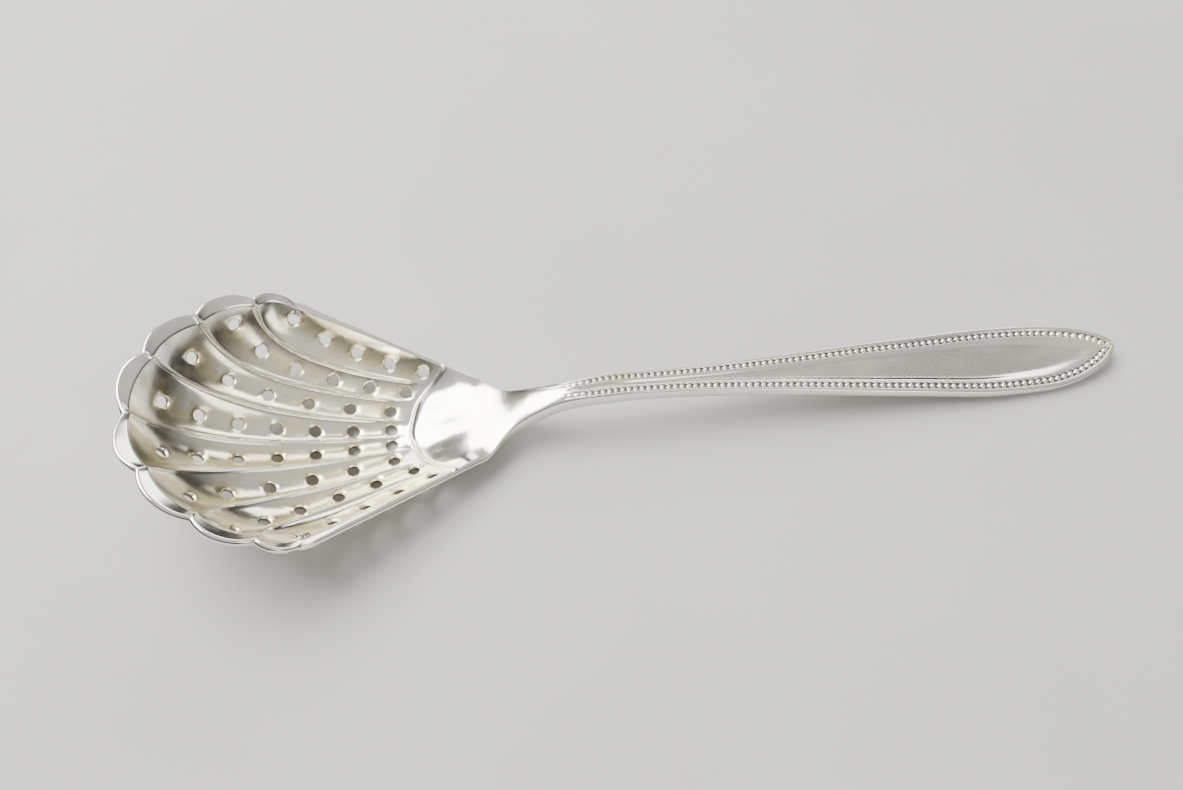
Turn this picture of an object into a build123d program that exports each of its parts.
from build123d import *
import os

# A pierced scallop-shell strainer spoon: a pressed, fluted sheet bowl with drain holes,
# silver-soldered over the tongue of a struck handle with beaded borders.
# Frame: +X runs from the bowl's lip to the handle's tip, +Z is up, and the spoon rests on Z = 0,
# with the origin under the middle of its length.  All sizes are in millimetres.

# ---- Driving dimensions ----
overall_length = 160.0
tip_x = overall_length / 2
sheet_thickness = 1.0
joint_x = -29.0  # where the bowl sheet butts against the handle's shoulders

# Fan lines of the half shell, from the middle ridge out to the side rim.  The first four points
# of a line are the control points of its long curve: heel, floor, toe and crease; the fifth is
# its place on the lip.
fan_lines = [
    [(-40.5, 0.0, 1.2), (-60.0, 0.0, 2.0), (-73.5, 0.0, 7.9), (-77.8, 0.0, 17.5), (-78.3, 0.0, 18.2)],
    [(-40.0, 2.5, 1.3), (-58.0, 4.2, 2.7), (-71.0, 6.6, 8.4), (-75.0, 9.0, 17.7), (-76.1, 9.5, 18.7)],
    [(-38.8, 5.2, 2.2), (-54.0, 8.8, 2.9), (-67.0, 11.3, 6.4), (-68.8, 15.8, 15.6), (-69.3, 16.8, 16.7)],
    [(-36.4, 7.5, 3.6), (-48.0, 10.8, 3.9), (-61.5, 15.3, 5.9), (-61.2, 19.3, 13.5), (-61.4, 20.3, 14.4)],
    [(-34.1, 9.4, 5.75), (-42.0, 13.3, 7.7), (-49.0, 16.9, 9.5), (-55.3, 19.7, 11.0), (-56.0, 21.3, 11.6)],
]
# How far the middle of a flute lies below its two fan lines, and how far it bulges outwards; the
# bulge of the lip is the height of each lobe, from the middle one out.
flute_drop = [0.25, 0.55, 1.3, -0.3, -0.55]
flute_bulge = [0.0, 0.0, 0.9, 1.0]
lobe_bulge = [2.24, 1.9, 1.75, 1.05]
fan_centre = Vector(-60.0, 0.0, 0.0)

# The raised heel ridge across the bowl, just behind the flutes.  Its back foot closes in and
# climbs a little towards the sides.
ridge_width = 1.3
ridge_height = 0.5
ridge_taper = 0.06

# The joint line and the heel dish.
shoulder_half_width = 7.7
rim_band = 1.0  # width of the flat band along the bowl's straight sides
rim_joint = Vector(joint_x, shoulder_half_width, 4.45)
rim_corner = Vector(-54.2, 20.6, 11.2)
dish_sag = (0.3, 0.5)  # of its two inner control rows, in the middle, from the joint on
# Where each control row meets the straight rim, from the joint to the front corner.
rim_shares = [0.0, 0.08, 0.15, 0.2, 0.23, 0.26, 0.52, 0.78, 0.97, 1.0]

# Drain holes: count in each flute of the half shell, from the middle out, and the stretch of the
# flute that a row covers, as fractions of its length.
hole_diameter = 1.8
hole_rows = [(7, 0.07, 0.87), (6, 0.08, 0.855), (6, 0.07, 0.89), (5, 0.09, 0.85)]

# Handle: stations of its arched top line from the joint to the tip, as (X, Z, thickness) ...
handle_arch = [
    (joint_x, 4.45, 2.3),
    (-25.0, 5.4, 2.8),
    (-21.0, 7.2, 3.3),
    (-15.5, 8.9, 3.2),
    (-8.0, 9.6, 2.9),
    (0.0, 9.0, 2.6),
    (20.0, 6.85, 2.2),
    (40.0, 4.5, 2.0),
    (60.0, 2.2, 1.85),
    (71.0, 1.75, 1.75),
    (tip_x, 2.8, 1.6),
]
# ... and of its outline, as (X, half width), from the shoulder to the tip.
handle_outline = [
    (joint_x, shoulder_half_width),
    (-24.5, 3.75),
    (-19.0, 2.2),
    (-8.0, 2.05),
    (5.0, 2.4),
    (19.0, 3.35),
    (41.0, 5.25),
    (61.0, 6.45),
    (69.5, 5.95),
    (74.6, 4.6),
    (78.6, 2.3),
    (tip_x, 0.0),
]
underside_radius = 0.9

# Borders of the handle's face.  Each is an (inset near the neck, inset near the tip) from the
# outline: the bead channel's two sides, the row of beads in it, and the edge of the sunk panel.
border_start_x = -14.0
border_full_x = 50.0
channel_outer_inset = (0.45, 0.95)
bead_inset = (0.85, 1.55)
channel_inner_inset = (1.25, 2.15)
panel_inset = (1.5, 2.9)
channel_depth = 0.4
panel_depth = 0.3
bead_radius = (0.38, 0.52)
bead_pitch = (1.0, 1.3)
bead_sink = 0.25  # of a bead's lowest point below the channel's floor
first_bead_gap = 0.5
last_bead_gap = 0.3
border_stations = 24  # steps along the outline that place a border
border_tip_gap = 0.2  # where a border stops beside the middle line

# The tongue under the heel of the bowl, and the film of solder that holds it there.
tongue_tip_x = -36.0
tongue_tip_z = 0.1
tongue_half_width = 4.2
tongue_overlap = 2.0  # how far the tongue's blank runs on into the handle
tongue_root_rise = 0.15  # of the tongue's underside above the handle's
solder_thickness = 0.25
solder_fillet = 0.5

blank_height = 20.0  # of the blanks that the pieces are cut from, well over the spoon's own


def blend(a, b, t):
    """The point a fraction t of the way from a to b."""
    return a + (b - a) * t


def dish_row(back, foot, share):
    """A control row of the heel dish, which sags most on the middle line."""
    last = len(back) - 1
    sag = dish_sag[0] if share < 0.5 else dish_sag[1]
    return [blend(back[j], foot[j], share) - Vector(0, 0, sag * (1 - j / last)) for j in range(last + 1)]


def half_grid():
    """Control rows of the half shell's upper face, each from the middle ridge to the rim edge.

    Rows 0 to 3 are the heel dish, 4 the crest of the heel ridge, 5 to 8 the flutes and 9 the lip.
    """
    rows = []
    lines = [[Vector(*p) for p in line] for line in fan_lines]
    for station in range(5):
        row = []
        for k in range(4):
            a = lines[k][station]
            b = lines[k + 1][station]
            outwards = Vector(*((lines[k][4] + lines[k + 1][4]) / 2))
            outwards = Vector(outwards.X - fan_centre.X, outwards.Y, 0).normalized()
            bulge = lobe_bulge[k] if station == 4 else flute_bulge[station]
            dip = outwards * bulge - Vector(0, 0, flute_drop[station])
            row += [a, (a + b) / 2 + dip * 2]
        row.append(lines[4][station])
        rows.append(row)
    start = rows[0]
    crest = [p + Vector(ridge_width / 2, -ridge_taper / 2 * p.Y, ridge_height) for p in start]
    foot = [p + Vector(ridge_width, -ridge_taper * p.Y, ridge_taper * p.Y) for p in start]
    last = len(start) - 1
    back_half_width = shoulder_half_width - rim_band
    back = [Vector(joint_x, back_half_width * j / last, rim_joint.Z) for j in range(last + 1)]
    rows = [back, dish_row(back, foot, 1 / 3), dish_row(back, foot, 2 / 3), foot, crest] + rows
    for row, share in zip(rows, rim_shares):
        row.append(blend(rim_joint, rim_corner, share))
    return rows


def mirrored(row):
    """A whole control row, from the rim edge at -Y to the rim edge at +Y."""
    other = [Vector(p.X, -p.Y, p.Z) for p in reversed(row[1:])]
    return other + row


def underside(grid):
    """The grid moved by the sheet's thickness along its own normals."""
    last_row = len(grid) - 1
    last_column = len(grid[0]) - 1
    lower = []
    for i, row in enumerate(grid):
        lower_row = []
        for j, point in enumerate(row):
            along = grid[min(i + 1, last_row)][j] - grid[max(i - 1, 0)][j]
            across = row[min(j + 1, last_column)] - row[max(j - 1, 0)]
            normal = along.cross(across).normalized()
            if normal.Z > 0:
                normal = normal * -1
            if i == 0:
                normal = Vector(0, 0, -1)
            lower_row.append(point + normal * sheet_thickness)
        lower.append(lower_row)
    return lower


def lifted(grid, height):
    """The grid moved up."""
    return [[point + Vector(0, 0, height) for point in row] for row in grid]


row_spans = [(0, 3), (3, 4), (4, 5), (5, 8), (8, 9)]
column_spans = [(0, 1)] + [(j, j + 2) for j in range(1, 17, 2)] + [(17, 18)]


def skin(grid):
    """Bezier faces over one side of the shell."""
    faces = []
    for i0, i1 in row_spans:
        for j0, j1 in column_spans:
            net = [row[j0 : j1 + 1] for row in grid[i0 : i1 + 1]]
            faces.append(Face.make_bezier_surface(net))
    return faces


def edge_band(upper, lower):
    """Bezier faces that close the sheet's edge all round."""
    faces = []
    for i in (0, len(upper) - 1):
        for j0, j1 in column_spans:
            faces.append(Face.make_bezier_surface([upper[i][j0 : j1 + 1], lower[i][j0 : j1 + 1]]))
    for j in (0, len(upper[0]) - 1):
        for i0, i1 in row_spans:
            sides = [[row[j] for row in grid[i0 : i1 + 1]] for grid in (upper, lower)]
            faces.append(Face.make_bezier_surface(sides))
    return faces


def slab(top, bottom):
    """The solid between two grids."""
    return Solid(Shell(skin(top) + skin(bottom) + edge_band(top, bottom)))


upper = [mirrored(row) for row in half_grid()]
lower = underside(upper)
solder_lower = lifted(lower, -solder_thickness)

# ---- Bowl ----
with BuildPart() as bowl:
    add(slab(upper, lower))
    drill_planes = []
    for k, (count, first, last) in enumerate(hole_rows):
        j = 9 + 2 * k
        valley = [(row[j] + row[j + 1] * 2 + row[j + 2]) / 4 for row in upper[5:9]]
        flute = Edge.make_bezier(*valley)
        across = upper[6][j + 2] - upper[6][j]
        for n in range(count):
            fraction = first + (last - first) * n / (count - 1)
            normal = (flute % fraction).cross(across)
            if normal.Z < 0:
                normal = normal * -1
            spot = flute @ fraction
            drill_planes.append(Plane(spot, z_dir=normal))
            drill_planes.append(Plane((spot.X, -spot.Y, spot.Z), z_dir=(normal.X, -normal.Y, normal.Z)))
    with Locations(*drill_planes):
        Cylinder(hole_diameter / 2, 3 * sheet_thickness, mode=Mode.SUBTRACT)

# ---- Handle ----
top_line = [(x, z) for x, z, thickness in handle_arch]
bottom_line = [(x, z - thickness) for x, z, thickness in handle_arch]

with BuildSketch() as plan:
    with BuildLine():
        side = Spline(*handle_outline)
        mirror(side, about=Plane.XZ)
        Line((joint_x, -shoulder_half_width), (joint_x, shoulder_half_width))
    make_face()

with BuildSketch() as tongue_plan:
    with Locations((tongue_tip_x + tongue_half_width, 0)):
        Circle(tongue_half_width)
    with Locations((joint_x + tongue_overlap, 0)):
        Rectangle(
            joint_x + tongue_overlap - tongue_tip_x - tongue_half_width,
            2 * tongue_half_width,
            align=(Align.MAX, Align.CENTER),
        )

with BuildPart() as tongue_blank:
    with BuildSketch(Plane.XZ.offset(-shoulder_half_width)):
        Polygon(
            (tongue_tip_x, tongue_tip_z),
            (joint_x + tongue_overlap, bottom_line[0][1] + tongue_root_rise),
            (joint_x + tongue_overlap, top_line[0][1]),
            (tongue_tip_x, top_line[0][1]),
            align=None,
        )
    extrude(amount=2 * shoulder_half_width)
    add(tongue_plan.sketch)
    extrude(amount=blank_height, mode=Mode.INTERSECT)

def border_value(ends, x):
    """A border size at x, between its values near the neck and near the tip."""
    share = (x - border_start_x) / (border_full_x - border_start_x)
    return ends[0] + (ends[1] - ends[0]) * min(1, max(0, share))


def border_points(inset):
    """Points along the handle's edge, moved inwards by the inset, up to the tip."""
    points = []
    for n in range(border_stations + 1):
        spot = side @ (n / border_stations)
        along = side % (n / border_stations)
        moved = spot + Vector(along.Y, -along.X) * border_value(inset, spot.X)
        if moved.X >= border_start_x and moved.Y > border_tip_gap:
            points.append(moved)
    return points


def border_face(inset):
    """The part of the handle's plan inside a border, as a sketch."""
    points = border_points(inset)
    with BuildSketch() as face:
        with BuildLine():
            edge = Spline(*points)
            mirror(edge, about=Plane.XZ)
            Line(points[0], (points[0].X, -points[0].Y))
            Line(points[-1], (points[-1].X, -points[-1].Y))
        make_face()
    return face.sketch


def face_layer(depth):
    """A body that fills the handle's face down to a depth below its top line."""
    with BuildPart() as layer:
        with BuildSketch(Plane.XZ.offset(-shoulder_half_width)):
            with BuildLine():
                Spline(*[(x, z - depth) for x, z in top_line])
                Polyline(
                    (tip_x, top_line[-1][1] - depth),
                    (tip_x, blank_height),
                    (joint_x, blank_height),
                    (joint_x, top_line[0][1] - depth),
                )
            make_face()
        extrude(amount=2 * shoulder_half_width)
    return layer.part


def top_height(x):
    """Height of the handle's top line at x, where an upright line meets it."""
    upright = Edge.make_line((x, 0, -blank_height), (x, 0, blank_height))
    return arch.intersect(upright)[0].Z


def bead_spots():
    """Centres and radii of the beads of one border, from the neck to the tip."""
    path = Edge.make_spline(border_points(bead_inset))
    spots = []
    run = first_bead_gap
    while run < path.length - last_bead_gap:
        spot = path @ (run / path.length)
        radius = border_value(bead_radius, spot.X)
        height = top_height(spot.X) - channel_depth - bead_sink + radius
        spots.append((Vector(spot.X, spot.Y, height), radius))
        run += border_value(bead_pitch, spot.X)
    return spots


def faces_down(face):
    """Whether a face looks downwards."""
    return face.normal_at().Z < -0.8


def runs_lengthwise(edge):
    """Whether an edge runs along most of the handle."""
    return edge.length > overall_length / 2


arch = Edge.make_spline([Vector(x, 0, z) for x, z in top_line])

with BuildPart() as channel_cut:
    add(face_layer(channel_depth))
    with BuildSketch():
        add(border_face(channel_outer_inset))
        add(border_face(channel_inner_inset), mode=Mode.SUBTRACT)
    extrude(amount=blank_height, mode=Mode.INTERSECT)

with BuildPart() as panel_cut:
    add(face_layer(panel_depth))
    add(border_face(panel_inset))
    extrude(amount=blank_height, mode=Mode.INTERSECT)

with BuildPart() as handle:
    with BuildSketch(Plane.XZ.offset(-shoulder_half_width)):
        with BuildLine():
            Spline(*top_line)
            Line(top_line[-1], bottom_line[-1])
            Spline(*bottom_line)
            Line(bottom_line[0], top_line[0])
        make_face()
    extrude(amount=2 * shoulder_half_width)
    add(plan.sketch)
    extrude(amount=blank_height, mode=Mode.INTERSECT)
    underneath = handle.faces().filter_by(faces_down).sort_by(SortBy.AREA)[-1]
    fillet(underneath.edges().filter_by(runs_lengthwise), underside_radius)
    add(tongue_blank.part)
    add(slab(lifted(lower, blank_height), solder_lower), mode=Mode.SUBTRACT)
    add(channel_cut.part, mode=Mode.SUBTRACT)
    add(panel_cut.part, mode=Mode.SUBTRACT)
    for spot, radius in bead_spots():
        with Locations(spot, (spot.X, -spot.Y, spot.Z)):
            Sphere(radius)

# ---- Solder seam ----
with BuildPart() as solder_seam:
    add(slab(lower, solder_lower))
    with BuildSketch():
        add(tongue_plan.sketch)
        offset(amount=solder_fillet)
    extrude(amount=blank_height, mode=Mode.INTERSECT)

os.makedirs("parts", exist_ok=True)
for name, piece in (("bowl", bowl), ("handle", handle), ("solder_seam", solder_seam)):
    piece.part.label = name
    export_step(piece.part, f"parts/{name}.step")
